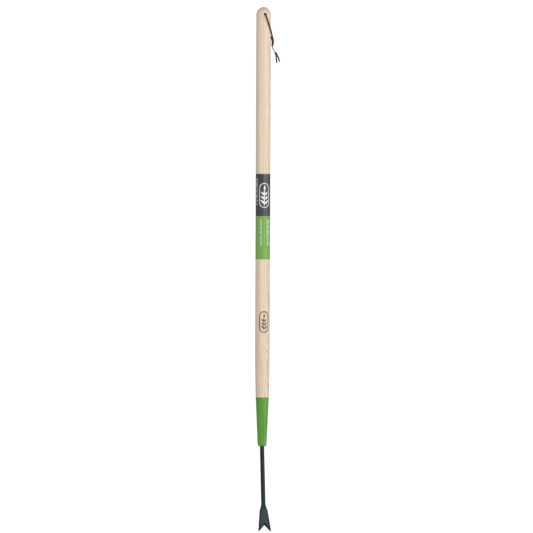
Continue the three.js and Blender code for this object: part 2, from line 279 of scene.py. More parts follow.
class Look:
    """A material being built out of nodes. What a method returns is an output for other nodes to take."""

    def __init__(self, name, **sockets):
        self.material = bpy.data.materials.new(name)
        self.material.use_nodes = True
        self.tree = self.material.node_tree
        self.shader = self.tree.nodes["Principled BSDF"]
        for socket, value in sockets.items():
            self.shader.inputs[socket.replace("_", " ")].default_value = value
        self.place = self.add("ShaderNodeTexCoord").outputs["Object"]

    def add(self, kind, inputs=None, **settings):
        node = self.tree.nodes.new(kind)
        for key, value in settings.items():
            setattr(node, key, value)
        for socket, value in (inputs or {}).items():
            self.feed(node.inputs[socket], value)
        return node

    def feed(self, socket, value):
        if isinstance(value, bpy.types.NodeSocket):
            self.tree.links.new(value, socket)
        else:
            socket.default_value = value

    def set(self, socket, value):
        self.feed(self.shader.inputs[socket], value)

    def noise(self, scale, detail=3, roughness=0.5, vector=None):
        """Noise from 0 to 1. scale is features per metre along x, y and z, or one number for all three."""
        if not isinstance(scale, tuple):
            scale = (scale, scale, scale)
        place = self.add("ShaderNodeVectorMath", {0: vector or self.place, 1: scale}, operation="MULTIPLY")
        inputs = {"Vector": place.outputs[0], "Scale": 1, "Detail": detail, "Roughness": roughness}
        return self.add("ShaderNodeTexNoise", inputs).outputs[0]

    def math(self, operation, a, b=0.0):
        return self.add("ShaderNodeMath", {0: a, 1: b}, operation=operation).outputs[0]

    def times(self, a, b):
        return self.math("MULTIPLY", a, b)

    def plus(self, a, b):
        return self.math("ADD", a, b)

    def between(self, value, low, high, to_low=0, to_high=1):
        """value's place between low and high, smoothly, as a number between to_low and to_high."""
        node = self.add("ShaderNodeMapRange", interpolation_type="SMOOTHSTEP")
        for socket, setting in enumerate((value, low, high, to_low, to_high)):
            self.feed(node.inputs[socket], setting)
        return node.outputs[0]

    def mix(self, share, a, b):
        node = self.add("ShaderNodeMix", data_type="RGBA")
        for socket, value in ((0, share), (6, a), (7, b)):
            self.feed(node.inputs[socket], value)
        return node.outputs[2]

    def over(self, base, share, strength, colour):
        """base with a colour laid over it at that strength, wherever share is 1."""
        return self.mix(self.times(share, strength), base, colour)

    def axis(self, name):
        return self.add("ShaderNodeSeparateXYZ", {0: self.place}).outputs[name]

    def attribute(self, name):
        return self.add("ShaderNodeAttribute", attribute_name=name).outputs["Fac"]

    def bump(self, height, depth, strength=1.0, before=None):
        """A normal for a surface whose height goes from 0 to 1 over that depth in metres."""
        inputs = {"Height": height, "Distance": depth, "Strength": strength}
        if before:
            inputs["Normal"] = before
        return self.add("ShaderNodeBump", inputs).outputs[0]


PITH_X = -52 * MM  # the tree's pith stands beside the handle, here at height 0
PITH_Y = 34 * MM
PITH_DRIFT = 0.02  # how far the pith moves sideways for each metre up
YEAR = 2.7 * MM  # one growth ring
FIGURE_TOP = -690 * MM  # below here the grain begins to swerve
FIGURE_FULL = -770 * MM


def ash_wood():
    """Pale ash under clear varnish: growth rings round a pith beside the handle, seen as long grain lines on
    its sides and as arcs on its end, with short dark pores in each ring."""
    look = Look("ash_wood_varnished", Specular_IOR_Level=0.4, Coat_Weight=0.12, Coat_Roughness=0.34)
    height = look.axis("Z")
    from_pith_x = look.plus(look.plus(look.axis("X"), look.times(height, PITH_DRIFT)), -PITH_X)
    from_pith_y = look.plus(look.axis("Y"), -PITH_Y)
    out = look.plus(look.math("POWER", from_pith_x, 2), look.math("POWER", from_pith_y, 2))
    out = look.math("SQRT", out)
    wander = look.noise((34, 34, 2.6), detail=2)
    out = look.plus(out, look.times(wander, 7.5 * MM))
    figured = look.between(height, FIGURE_TOP, FIGURE_FULL)
    ripple = look.noise((50, 50, 14), detail=2, roughness=0.35)
    out = look.plus(out, look.times(look.times(ripple, figured), 15 * MM))
    years = look.times(out, 1 / YEAR)
    year_place = look.add("ShaderNodeCombineXYZ", {"X": years}).outputs[0]
    uneven = look.noise((0.37, 1, 1), detail=2, roughness=0.6, vector=year_place)
    ring = look.math("FRACT", look.plus(years, look.times(uneven, 2.6)))
    early = look.times(look.between(ring, 0.35, 0.78), look.between(ring, 1.0, 0.9))
    strong = look.between(look.noise((0.9, 1, 1), detail=1, vector=year_place), 0.3, 0.7, 0.35, 1)
    early = look.times(early, strong)
    pores = look.between(look.noise((1500, 1500, 42), detail=2), 0.56, 0.7)
    pores = look.times(pores, look.between(early, 0.1, 0.8, 0.25, 1))
    fibre = look.noise((2600, 2600, 60), roughness=0.6)
    streak = look.noise((150, 150, 1.6), roughness=0.55)
    broad = look.noise((70, 70, 1.4), detail=2)
    wood = look.mix(look.between(streak, 0.3, 0.7), srgb(221, 202, 179), srgb(232, 216, 197))
    wood = look.mix(look.between(broad, 0.5, 0.68, 0, 0.6), wood, srgb(228, 196, 178))
    wood = look.mix(look.between(broad, 0.48, 0.32, 0, 0.6), wood, srgb(219, 203, 163))
    depth_of_ring = look.between(figured, 0, 1, 0.5, 0.8)
    wood = look.over(wood, early, depth_of_ring, srgb(194, 162, 130))
    wood = look.over(wood, pores, 0.5, srgb(146, 118, 88))
    wood = look.mix(look.between(fibre, 0.3, 0.75, 0, 0.22), wood, srgb(196, 172, 138))
    flip = look.between(look.noise((24, 24, 5), detail=2), 0.6, 0.78, 0, 0.25)
    wood = look.mix(flip, wood, srgb(200, 182, 154))
    end = look.between(height, DOME_BASE + 6 * MM, HANDLE_HIGH.z, 0, 0.4)
    look.set("Base Color", look.mix(end, wood, srgb(184, 174, 150)))
    look.set("Roughness", look.between(fibre, 0.2, 0.8, 0.42, 0.58))
    relief = look.plus(look.times(fibre, 0.35), look.times(pores, -0.8))
    relief = look.plus(relief, look.times(early, -0.25))
    look.set("Normal", look.bump(relief, 0.06 * MM, 0.7))
    return look.material


def label_film(name, colour, worn):
    """A satin printed film drawn tight over the wood, whose grain just shows through, with a few rubs."""
    look = Look(name, Specular_IOR_Level=0.6)
    tone = look.noise((90, 90, 14))
    rub = look.between(look.noise((420, 420, 30), detail=4, roughness=0.65), 0.58, 0.76)
    speck = look.between(look.noise(1900, detail=1), 0.66, 0.74)
    film = look.mix(look.between(tone, 0.3, 0.7, 0, 0.35), colour, worn)
    film = look.over(film, rub, 0.3, worn)
    look.set("Base Color", look.over(film, speck, 0.25, worn))
    look.set("Roughness", look.between(rub, 0, 1, 0.38, 0.54))
    wood_grain = look.bump(look.noise((700, 700, 9)), 0.05 * MM, 0.6)
    slack = look.noise((160, 160, 60))
    look.set("Normal", look.bump(slack, 0.2 * MM, 0.5, wood_grain))
    return look.material


def ink():
    """Pale print on the film, a little broken where it has rubbed."""
    look = Look("label_ink", Roughness=0.5)
    rubbed = look.between(look.noise((1500, 1500, 600), detail=4, roughness=0.7), 0.55, 0.75)
    look.set("Base Color", look.mix(rubbed, srgb(222, 227, 223), srgb(186, 194, 188)))
    look.set("Roughness", look.between(rubbed, 0, 1, 0.42, 0.6))
    look.set("Normal", look.bump(rubbed, 0.02 * MM, 0.4))
    return look.material


def burnt_wood():
    """The burnt-in mark: scorched brown, uneven in depth along the grain."""
    look = Look("burnt_wood", Roughness=0.7)
    depth = look.noise((900, 900, 260), detail=4, roughness=0.65)
    look.set("Base Color", look.mix(look.between(depth, 0.38, 0.62), srgb(78, 60, 46), srgb(124, 100, 78)))
    look.set("Roughness", look.between(depth, 0.3, 0.7, 0.6, 0.8))
    look.set("Normal", look.bump(depth, 0.08 * MM, 0.8))
    return look.material


def green_enamel():
    """Stove enamel on the steel ferrule: a soft orange-peel gloss, worn at the rim and the foot, with a line
    of painted shade in the groove under the rim's bead.
    """
    look = Look("green_enamel", Specular_IOR_Level=0.5, Coat_Weight=0.3, Coat_Roughness=0.16)
    height = look.axis("Z")
    rim = look.between(height, FERRULE_HIGH.z - 1.4 * MM, FERRULE_HIGH.z - 0.2 * MM)
    foot = look.between(height, FERRULE_LOW.z + 1.6 * MM, FERRULE_LOW.z)
    chips = look.noise(520, detail=5, roughness=0.7)
    near_ends = look.times(look.math("MAXIMUM", rim, foot), 0.16)
    chipped = look.between(look.plus(chips, near_ends), 0.66, 0.7)
    scuffs = look.between(look.noise((1200, 1200, 90), detail=4, roughness=0.7), 0.62, 0.74)
    tone = look.noise((60, 60, 22))
    green = look.mix(look.between(tone, 0.3, 0.7), srgb(78, 143, 38), srgb(88, 151, 46))
    green = look.over(green, scuffs, 0.2, srgb(130, 178, 104))
    # Painted shade: a dark green line in the groove under the rim's bead, where shade falls.
    shade_below_bead = look.between(height, BEAD_LOW - 0.5 * MM, BEAD_LOW)
    shade_above_bead = look.between(height, BEAD_LOW + 1 * MM, BEAD_LOW)
    green = look.over(green, look.times(shade_below_bead, shade_above_bead), 0.6, srgb(44, 84, 36))
    look.set("Base Color", look.mix(chipped, green, srgb(92, 90, 84)))
    look.set("Metallic", look.times(chipped, 0.8))
    look.set("Roughness", look.between(scuffs, 0, 1, 0.27, 0.45))
    peel = look.bump(look.noise(620, detail=2), 0.06 * MM, 0.55)
    look.set("Normal", look.bump(chipped, -0.08 * MM, 0.8, peel))
    return look.material


def forged_steel():
    """Black forged steel: blued scale, faint hammer flats on the blade and a little rub along its edges, with
    painted shade along the blade's sides and lower edge, towards the notch and on the ground bevel.
    """
    look = Look("forged_steel_black", Specular_IOR_Level=0.3)
    height = look.axis("Z")
    blade = look.between(height, SHOULDER_TOP, SHOULDER)
    scale = look.noise((170, 170, 60), detail=5, roughness=0.62)
    speck = look.between(look.noise(1300, roughness=0.6), 0.6, 0.72)
    drawn = look.noise((1400, 1400, 30))
    tone = look.mix(look.between(scale, 0.3, 0.7), srgb(18, 29, 34), srgb(31, 49, 58))
    tone = look.over(tone, look.between(drawn, 0.5, 0.75), 0.25, srgb(40, 60, 69))
    tone = look.over(tone, speck, 0.3, srgb(54, 62, 66))
    # Painted shade: darker along the blade's rounded sides and lower edge, where they turn from the light.
    # The lighter rub on the very edge is wear.
    edge = look.attribute("edge")
    tone = look.mix(look.between(edge, 0, 0.8, 0, 0.55), tone, srgb(12, 19, 22))
    worn = look.between(look.noise(700, detail=4, roughness=0.7), 0.42, 0.62)
    rub = look.times(look.between(edge, 0.8, 1), worn)
    tone = look.over(tone, rub, 0.25, srgb(78, 88, 92))
    # Painted shade: darker towards the notch, where the leaning blade faces down and away from the lights.
    low = look.between(height, NOTCH + 12 * MM, NOTCH - 2 * MM, 0, 0.35)
    tone = look.mix(low, tone, srgb(14, 22, 26))
    # Painted shade: the ground bevel along the notch is darkened, as it faces down and away from the lights.
    look.set("Base Color", look.over(tone, look.attribute("bevel_shade"), 0.7, srgb(16, 20, 22)))
    look.set("Metallic", look.plus(look.times(rub, 0.4), 0.2))
    look.set("Roughness", look.between(scale, 0.25, 0.75, 0.36, 0.52))
    hammered = look.times(look.noise(110, detail=1), blade)
    first = look.bump(hammered, 0.35 * MM, 0.5)
    second = look.bump(scale, 0.08 * MM, 0.5, first)
    look.set("Normal", look.bump(drawn, 0.03 * MM, 0.4, second))
    return look.material


def pin_steel():
    """Bright rivet steel with a set head: fine turned lines, small dents and dull patches."""
    look = Look("pin_steel", Metallic=1.0)
    dull = look.noise(420, detail=4, roughness=0.6)
    patches = look.between(dull, 0.35, 0.65)
    look.set("Base Color", look.mix(patches, srgb(150, 152, 152), srgb(112, 111, 106)))
    look.set("Roughness", look.between(dull, 0.3, 0.7, 0.3, 0.5))
    dents = look.noise(900, detail=2)
    look.set("Normal", look.bump(dents, 0.12 * MM, 0.5))
    return look.material


def thong_leather():
    """Dark brown leather lace: pebbled grain on its faces, creases, and paler raw cut edges."""
    look = Look("thong_leather", Specular_IOR_Level=0.12)
    tone = look.noise(160)
    grain = look.noise(1700, roughness=0.6)
    crease = look.between(look.noise((500, 500, 900), detail=4, roughness=0.7), 0.56, 0.7)
    face = look.mix(look.between(tone, 0.3, 0.7), srgb(52, 31, 18), srgb(76, 49, 28))
    face = look.over(face, crease, 0.4, srgb(104, 74, 48))
    raw = look.mix(look.between(grain, 0.35, 0.65), srgb(172, 168, 90), srgb(202, 197, 120))
    cut = look.between(look.attribute("cut"), 0.35, 0.75)
    look.set("Base Color", look.mix(cut, face, raw))
    look.set("Roughness", look.between(crease, 0, 1, 0.5, 0.72))
    first = look.bump(grain, 0.08 * MM, 0.7)
    look.set("Normal", look.bump(crease, 0.1 * MM, 0.5, first))
    return look.material


def floor_paper():
    """White paper, lit up only for the camera so that it throws no strong light back up at the tool."""
    look = Look("floor_paper", Roughness=0.9, Emission_Color=(1, 1, 1, 1))
    seen = look.add("ShaderNodeLightPath").outputs["Is Camera Ray"]
    look.set("Emission Strength", look.times(seen, 0.8))
    tone = look.noise(3)
    look.set("Base Color", look.mix(look.between(tone, 0.3, 0.7), srgb(244, 244, 243), srgb(247, 247, 247)))
    return look.material


# -------------------- thong


def smooth_route(points, step):
    """Points a step apart along a centripetal Catmull-Rom curve through the points."""
    padded = [2 * points[0] - points[1], *points, 2 * points[-1] - points[-2]]
    fine = [points[0]]
    for corners in zip(padded, padded[1:], padded[2:], padded[3:]):
        times = [0]
        for a, b in zip(corners, corners[1:]):
            times.append(times[-1] + (b - a).length ** 0.5)
        for t in spread(times[1], times[2], 40)[1:]:
            level = corners
            for span in (1, 2):
                shares = [(t - times[k]) / (times[k + span] - times[k]) for k in range(4 - span)]
                level = [lerp(a, b, share) for a, b, share in zip(level, level[1:], shares)]
            fine.append(lerp(*level, (t - times[1]) / (times[2] - times[1])))
    lengths = [0]
    for a, b in zip(fine, fine[1:]):
        lengths.append(lengths[-1] + (b - a).length)
    route = []
    at = 0
    for wanted in spread(0, lengths[-1], max(2, round(lengths[-1] / step))):
        while at < len(fine) - 2 and lengths[at + 1] < wanted:
            at += 1
        share = (wanted - lengths[at]) / (lengths[at + 1] - lengths[at])
        route.append(lerp(fine[at], fine[at + 1], min(max(share, 0), 1)))
    return route


def directions(route):
    """The direction of travel at each point of a route."""
    last = len(route) - 1
    return [(route[min(i + 1, last)] - route[max(i - 1, 0)]).normalized() for i in range(last + 1)]


TO_VIEWER = Vector((-0.22, -0.97, 0))
ROUTE_STEP = 0.8 * MM
LACE_SIDES = 20
LACE_SQUARENESS = 3.4
EDGE_DYED = 0.42  # how bare a raw edge looks where its dye has held, out of 1
END_SLANT = 0.7 * MM  # how much further one edge of a cut end reaches
CUT_END = 0.6  # how bare the lace's cut ends look
KNOT_LACE = 0.86  # the knot's turns are drawn down to this share of the lace's width

# Where the lace changes: FACES_VIEWER is between two heights, and the rest along the knot's axis from its
# middle, on both sides of it for SQUEEZED
FACES_VIEWER = (-10 * MM, -34 * MM)
TURNS_ON_EDGE = (-22 * MM, -16 * MM)
TURNS_FLAT = (-1 * MM, 6 * MM)
RUBBED_FROM = (-26 * MM, -20 * MM)
RUBBED_TO = (-1 * MM, -4 * MM)
SQUEEZED = (5 * MM, 1.5 * MM)


def section(count, power):
    """(across, out) of each corner of a rounded section, each from -1 to 1. A power of 2 gives an ellipse,
    and more gives flatter sides and squarer corners."""
    corners = []
    for angle in even_angles(count):
        place = [round(part, 9) for part in (math.cos(angle), math.sin(angle))]
        corners.append(tuple(math.copysign(abs(part) ** (2 / power), part) for part in place))
    return corners


def lace(name, route, facing, narrow, material, replaced=(), pale=None, slant=0, seed=0):
    """A flat lace along a route. For each point, facing is the direction that its grain side faces, narrow a
    share of its width, and pale how far its raw edges have rubbed bare. slant is how much further one edge
    of its last end reaches."""
    rings = []
    cut = []
    length = 0
    for i, (point, ahead, face) in enumerate(zip(route, directions(route), facing)):
        if i:
            length += (route[i] - route[i - 1]).length
        out = (face - ahead * face.dot(ahead)).normalized()
        across = ahead.cross(out)
        share = narrow[i]
        bare = pale[i] if pale else EDGE_DYED
        uneven = 1 + 0.05 * noise.noise(Vector((length / (6 * MM), seed, 0)))
        thicker = LACE_THICK * (1 + 0.5 * (1 - share))
        last = i == len(route) - 1
        ring = []
        for side, off in section(LACE_SIDES, LACE_SQUARENESS):
            raw = smooth(abs(side), 0.9, 0.97)
            side *= share * uneven
            stretch = ahead * (side * slant) if last else Vector()
            ring.append(point + across * (side * LACE_WIDTH / 2) + out * (off * thicker / 2) + stretch)
            cut.append(CUT_END if last or i == 0 else raw * bare)
        rings.append(ring)
    piece = make(name, loft(rings), material, replaced, body="hang_loop", sharp=50)
    store(piece, "cut", cut)
    return piece


def at_knot(along, side, across):
    """A point along the knot's axis from its centre, out in y and across its face, from millimetres."""
    return KNOT_CENTRE + (KNOT_ALONG * along + KNOT_SIDE * side + KNOT_FACE * across) * MM


def strand(name, mirror, tail_end, splay, replaced, material):
    """One half of the lace: from the middle of the hole, out of its mouth and down the handle to the knot,
    through it and on to a free tail. mirror is 1 for the front half and -1 for the back half."""
    edge_on = -KNOT_ALONG.cross(TO_VIEWER)
    points = [Vector((x, y * mirror, z)) * MM for x, y, z in STRAND_ROUTE]
    points += [at_knot(along, side * mirror, across * splay) for along, side, across in KNOT_ROUTE]
    points.append(Vector(tail_end) * MM)
    route = smooth_route(points, ROUTE_STEP)
    mouth = HANDLE_R - 1 * MM
    facing = []
    narrow = []
    pale = []
    for point in route:
        outward = Vector((point.x, point.y, 0))
        outward = outward.normalized() if outward.length > 1 * MM else Vector((0, -mirror, 0))
        leaving = smooth(abs(point.y) - point.z, mouth - 2 * MM, mouth + 4 * MM)
        face = lerp(UP, outward, leaving)
        face = lerp(face, TO_VIEWER * mirror, smooth(point.z, *FACES_VIEWER))
        from_knot = (point - KNOT_CENTRE).dot(KNOT_ALONG)
        face = lerp(face, edge_on, smooth(from_knot, *TURNS_ON_EDGE))
        facing.append(lerp(face, TO_VIEWER, smooth(from_knot, *TURNS_FLAT)))
        narrow.append(1 - 0.3 * smooth(abs(from_knot), *SQUEEZED))
        rubbed = smooth(from_knot, *RUBBED_FROM) * smooth(from_knot, *RUBBED_TO)
        pale.append(lerp(EDGE_DYED, 1, rubbed))
    half = lace(name, route, facing, narrow, material, replaced, pale, END_SLANT * mirror, seed=mirror)


def knot_turn(name, degrees, steps, side, deep, rise, swell, material, replaced=(), seed=0):
    """A turn of lace round the two strands from one angle to another, while it moves along the knot's axis.
    side and deep are its half-axes, and swell makes them larger or smaller on its way."""
    route = []
    facing = []
    for share in spread(0, 1, steps):
        angle = math.radians(lerp(*degrees, share))
        y = side * math.cos(angle) * swell(share)
        across = deep * math.sin(angle) * swell(share)
        route.append(at_knot(lerp(*rise, share), y, across))
        out = KNOT_SIDE * math.cos(angle) / side + KNOT_FACE * math.sin(angle) / deep
        facing.append(out.normalized())
    return lace(name, route, facing, [KNOT_LACE] * len(route), material, replaced, seed=seed)


def knot_turns(material):
    """The overhand knot's turns round the two strands: almost two tight coils and one crossing over them.
    Their sizes are in millimetres."""

    def tucked(share):
        return 1 - 0.3 * (smooth(share, 0.12, 0) + smooth(share, 0.88, 1))

    def humped(share):
        return 1 + 0.33 * math.sin(math.pi * share)

    coil = {"degrees": (200, 884), "steps": 65, "side": 3.15, "deep": 1.75, "rise": (-2.3, 2.3)}
    crossing = {"degrees": (150, 330), "steps": 25, "side": 2.95, "deep": -1.7, "rise": (-2.6, 2.8)}
    return [
        knot_turn("knot_coil", swell=tucked, material=material, replaced=("thong_knot",), seed=5, **coil),
        knot_turn("knot_crossing", swell=humped, material=material, seed=9, **crossing),
    ]


def add_thong():
    material = thong_leather()
    knot = knot_turns(material)
    front_nodes = ("thong_loop", "thong_tail_right")
    strand("lace_front", 1, RIGHT_TAIL_END, RIGHT_SPLAY, front_nodes, material)
    strand("lace_back", -1, LEFT_TAIL_END, LEFT_SPLAY, ("thong_tail_left",), material)


# -------------------- handle

HANDLE_SIDES = 96
PATCH_HALF = 6  # the hole's patch is this many of the handle's sides wide, each way from its middle
PATCH_ROWS = 12
PATCH_Z = 6 * MM


def cone_radius(z):
    """The ferrule's outer radius at a height."""
    share = (z - FERRULE_LOW.z) / (FERRULE_HIGH.z - FERRULE_LOW.z)
    return lerp(FERRULE_FOOT_R, FERRULE_TOP_R, share)


def handle_radius(z):
    if z > DOME_BASE:
        return HANDLE_R * math.sqrt(max(0, 1 - ((z - DOME_BASE) / DOME_HEIGHT) ** 2))
    if z > TAPER_TOP:
        return HANDLE_R
    share = (TAPER_TOP - z) / (TAPER_TOP - FERRULE_HIGH.z)
    return HANDLE_R - (HANDLE_R - FERRULE_TOP_R) * share**2


FILM_BED = 0.15 * MM  # how far the wood lies back under the film


def handle_rows():
    """(radius, z) down the outside of the handle below its top, into the ferrule and up the tang's bore."""
    lowest_patch = math.asin((PATCH_Z - DOME_BASE) / DOME_HEIGHT)
    dome = spread(math.pi / 2, lowest_patch, 10)[1:]
    bare = [DOME_BASE + DOME_HEIGHT * math.sin(angle) for angle in dome]
    bare += spread(PATCH_Z, -PATCH_Z, PATCH_ROWS)[1:]
    bare += spread(-PATCH_Z, GREY_HIGH.z, 18)[1:]
    rows = [(handle_radius(z), z) for z in bare]
    rows += [(HANDLE_R - FILM_BED, z) for z in spread(GREY_HIGH.z, GREEN_LOW.z, 9)]
    below = spread(GREEN_LOW.z, TAPER_TOP, 9) + spread(TAPER_TOP, FERRULE_HIGH.z, 14)[1:]
    rows += [(handle_radius(z), z) for z in below]
    inset = FERRULE_WALL + 0.1 * MM
    bore = ROD_R + 0.1 * MM
    rows += [(cone_radius(z) - inset, z) for z in (FERRULE_HIGH.z, HANDLE_LOW.z)]
    rows += [(bore, HANDLE_LOW.z), (bore, FORK_HIGH.z)]
    return rows


def hole_mouth(front):
    """Rings of points from the edge of the hole's patch, on the front (-1) or back (1) of the handle, in to
    the hole and round its rounded edge."""
    corner = PATCH_HALF * 2 * math.pi / HANDLE_SIDES
    outline = [(turn, PATCH_Z) for turn in spread(-corner, corner, 2 * PATCH_HALF)[:-1]]
    outline += [(corner, z) for z in spread(PATCH_Z, -PATCH_Z, PATCH_ROWS)[:-1]]
    outline += [(-turn, -z) for turn, z in outline]
    edge = [(handle_radius(z) * math.sin(turn), z) for turn, z in outline]

    def surface(x, z):
        return front * math.sqrt(handle_radius(z) ** 2 - x * x)

    rings = []
    mouth = HOLE_R + HOLE_EDGE
    for share in (0, 0.3, 0.55, 0.75, 0.9, 1):
        ring = []
        for place in edge:
            x, z = lerp(Vector(place), Vector(place).normalized() * mouth, share)
            ring.append(Vector((x, surface(x, z), z)))
        rings.append(ring)
    for angle in spread(0, math.pi / 2, 4)[1:]:
        radius = HOLE_R + HOLE_EDGE * (1 - math.sin(angle))
        sink = HOLE_EDGE * (1 - math.cos(angle))
        ring = []
        for place in edge:
            way = Vector(place).normalized()
            y = surface(way.x * mouth, way.y * mouth) - front * sink
            ring.append(Vector((way.x * radius, y, way.y * radius)))
        rings.append(ring)
    return rings


def add_handle(material):
    rows = handle_rows()
    angles = even_angles(HANDLE_SIDES)
    rings = [[Vector((0, 0, HANDLE_HIGH.z))]]
    rings += [[on_axis(radius, angle, z) for angle in angles] for radius, z in rows]
    rings.append([Vector((0, 0, FORK_HIGH.z + 3 * MM))])
    vertices, faces = loft(rings)
    half = HANDLE_SIDES // 2

    def in_patch(face):
        middle = sum((vertices[i] for i in face), Vector()) / len(face)
        if abs(middle.z) > PATCH_Z or Vector((middle.x, middle.y)).length < HOLE_R * 2:
            return False
        turn = math.atan2(middle.x, -middle.y) / (2 * math.pi) * HANDLE_SIDES
        return abs(turn) < PATCH_HALF or abs(abs(turn) - half) < PATCH_HALF

    faces = [face for face in faces if not in_patch(face)]
    front = hole_mouth(-1)
    back = hole_mouth(1)
    bore = [[lerp(a, b, share) for a, b in zip(front[-1], back[-1])] for share in (0.25, 0.5, 0.75)]
    hole = loft([*front, *bore, *reversed(back)])
    open_hole = (hole[0], hole[1][:-2])  # without its flat ends
    make("handle_wood", join([(vertices, faces), open_hole]), material, ("handle",))


# -------------------- label film

FILM_THICK = 0.12 * MM
FILM_R = HANDLE_R + 0.02 * MM  # outside of its first layer
FILM_SEAM = math.radians(168)  # turned from the front towards +X
FILM_OVERLAP = math.radians(22)
FILM_STEPS = 120
INK_THICK = 0.05 * MM
BURN_Z = -676.5 * MM
BURN_THICK = 0.04 * MM
BURN_PROUD = 0.015 * MM
MARK_ANGLE = math.radians(-2)  # every mark's middle, turned from the front towards +X


def film_sleeve(name, top, bottom, material, replaced):
    """One turn of film and a little more, so that its end lies over its start along a seam at the back."""
    turn = 2 * math.pi + FILM_OVERLAP
    outside = []
    inside = []
    for along in spread(0, turn, FILM_STEPS):
        lift = 1.15 * FILM_THICK * smooth(along, turn - FILM_OVERLAP * 1.6, turn - FILM_OVERLAP)
        outside.append((FILM_R + lift, FILM_SEAM + along))
        inside.append((FILM_R + lift - FILM_THICK, FILM_SEAM + along))
    rings = []
    for share in (0, 0.004, 0.1, 0.3, 0.5, 0.7, 0.9, 0.996, 1):
        z = lerp(top, bottom, share)
        worn = 0.03 * MM if share in (0, 1) else 0
        ring = [on_axis(radius - worn, angle, z) for radius, angle in outside]
        rings.append(ring + [on_axis(radius, angle, z) for radius, angle in reversed(inside)])
    make(name, loft(rings, strip_ends=True), material, (replaced,))


# Print: flat shapes drawn as strips on the unrolled surface, as (round, up) in millimetres from the middle
BAR_STEP = 1.2
PRINT_CELL = 0.9  # a print's faces are narrow enough to follow the handle's curve


def strip_bar(x0, z0, x1, z1, width):
    """A straight bar between two points."""
    start = Vector((x0, z0))
    end = Vector((x1, z1))
    run = end - start
    side = Vector((-run.y, run.x)).normalized() * width / 2
    steps = max(2, int(run.length / BAR_STEP))
    return [(middle + side, middle - side) for middle in spread(start, end, steps)]


def strip_ring(half_width, half_height, line):
    """A closed outline with straight sides and half-round ends."""
    pairs = []
    straight = half_height - half_width
    for end in (1, -1):
        for angle in spread(0, math.pi, 32):
            way = Vector((math.cos(angle), math.sin(angle))) * end
            middle = Vector((0, straight * end))
            pairs.append((middle + way * half_width, middle + way * (half_width - line)))
    return [*pairs, pairs[0]]


def strip_leaf(x, z, angle, length, width):
    """A leaf with pointed ends, from its stalk end at x, z."""
    way = Vector((math.sin(angle), math.cos(angle)))
    side = Vector((way.y, -way.x))
    pairs = []
    for share in spread(0, 1, 14):
        half = width / 2 * math.sin(math.pi * share) ** 0.8 * (1.15 - 0.3 * share) + 0.03
        bend = side * (math.sin(math.pi * share) * length * 0.06)
        middle = Vector((x, z)) + way * (length * share) + bend
        pairs.append((middle + side * half, middle - side * half))
    return pairs


def add_print(name, strips, centre_z, radius, thick, material):
    """A thin layer of ink, or of scorched wood, in the shape of the strips, wrapped round the handle."""

    def wrapped(left, right, r):
        places = spread(left, right, columns)
        return [on_axis(r, MARK_ANGLE + place.x * MM / radius, centre_z + place.y * MM) for place in places]

    skins = []
    for pairs in strips:
        columns = max(1, math.ceil(max((a - b).length for a, b in pairs) / PRINT_CELL))
        closed = pairs[0] == pairs[-1]
        rings = [wrapped(a, b, radius) + wrapped(b, a, radius - thick) for a, b in pairs]
        skins.append(loft(rings[:-1] if closed else rings, closed, strip_ends=True))
    make(name, join(skins), material)


def sprig(size):
    """A stem with pairs of leaves: a plain garden pictogram, size millimetres tall."""
    strips = [strip_bar(0, -size / 2, 0, size * 0.3, size * 0.05)]
    for i, share in enumerate((0.08, 0.3, 0.52)):
        z = (share - 0.5) * size
        length = size * (0.265 - 0.03 * i)
        for side in (-1, 1):
            strips.append(strip_leaf(size * 0.02 * side, z, side * math.radians(42), length, size * 0.095))
    strips.append(strip_leaf(0, size * 0.25, 0, size * 0.25, size * 0.1))
    return strips


def text_rows(round_at, top, bottom, half, seed, line):
    """A column of short bars in place of a line of small print, with gaps between its words."""
    bars = []
    step = 1.35
    for k in range(int((top - bottom) / step)):
        if noise.noise(Vector((k * 0.47, seed * 3.7, 0.5))) < 0.28:
            length = half * (1 + 0.25 * noise.noise(Vector((k * 1.9, seed * 5.1, 2.5))))
            z = top - k * step
            bars.append(strip_bar(round_at - length, z, round_at + length, z, line))
    return bars


def add_labels():
    grey = label_film("grey_film", srgb(60, 59, 64), srgb(74, 73, 79))
    green = label_film("green_film", srgb(112, 160, 72), srgb(130, 173, 94))
    film_sleeve("film_grey", GREY_HIGH.z, GREY_LOW.z, grey, "label_band_grey")
    film_sleeve("film_green", GREEN_HIGH.z, GREEN_LOW.z, green, "label_band_green")
    white = ink()
    printed = FILM_R + INK_THICK / 2
    emblem = [strip_ring(11.6, 27.4, 1.6), *sprig(44)]
    emblem += text_rows(round_at=-18.9, top=39, bottom=-27, half=2.3, seed=2, line=0.7)
    emblem_z = lerp(GREY_HIGH.z, GREY_LOW.z, 0.51)
    add_print("print_emblem", emblem, emblem_z, printed, INK_THICK, white)
    lines = text_rows(round_at=-7.2, top=33, bottom=-27, half=1.35, seed=0, line=0.72)
    for round_at, seed in ((7.4, 1), (11.2, 3)):
        lines += text_rows(round_at, top=32, bottom=-25, half=1.2, seed=seed, line=0.72)
    lines_z = lerp(GREEN_HIGH.z, GREEN_LOW.z, 0.42)
    add_print("print_lines", lines, lines_z, printed, INK_THICK, white)
    stamp = [strip_ring(11, 23.8, 2.3), *sprig(36)]
    add_print("burnt_mark", stamp, BURN_Z, HANDLE_R + BURN_PROUD, BURN_THICK, burnt_wood())


# -------------------- ferrule

FERRULE_SIDES = 112
SEAM_HALF = 0.3 * MM  # half the width of the line between the sheet's two edges
SEAM_DEPTH = 0.3 * MM
SEAM_SWELL = 0.05 * MM  # how proud the sheet's edges stand
GROOVE_Z = -941 * MM
# (height from the groove's middle, depth) across the groove in millimetres
GROOVE = [(-2, 0), (-1.2, 0.04), (-0.7, 0.2), (0, 0.36), (0.7, 0.2), (1.2, 0.04), (2, 0)]


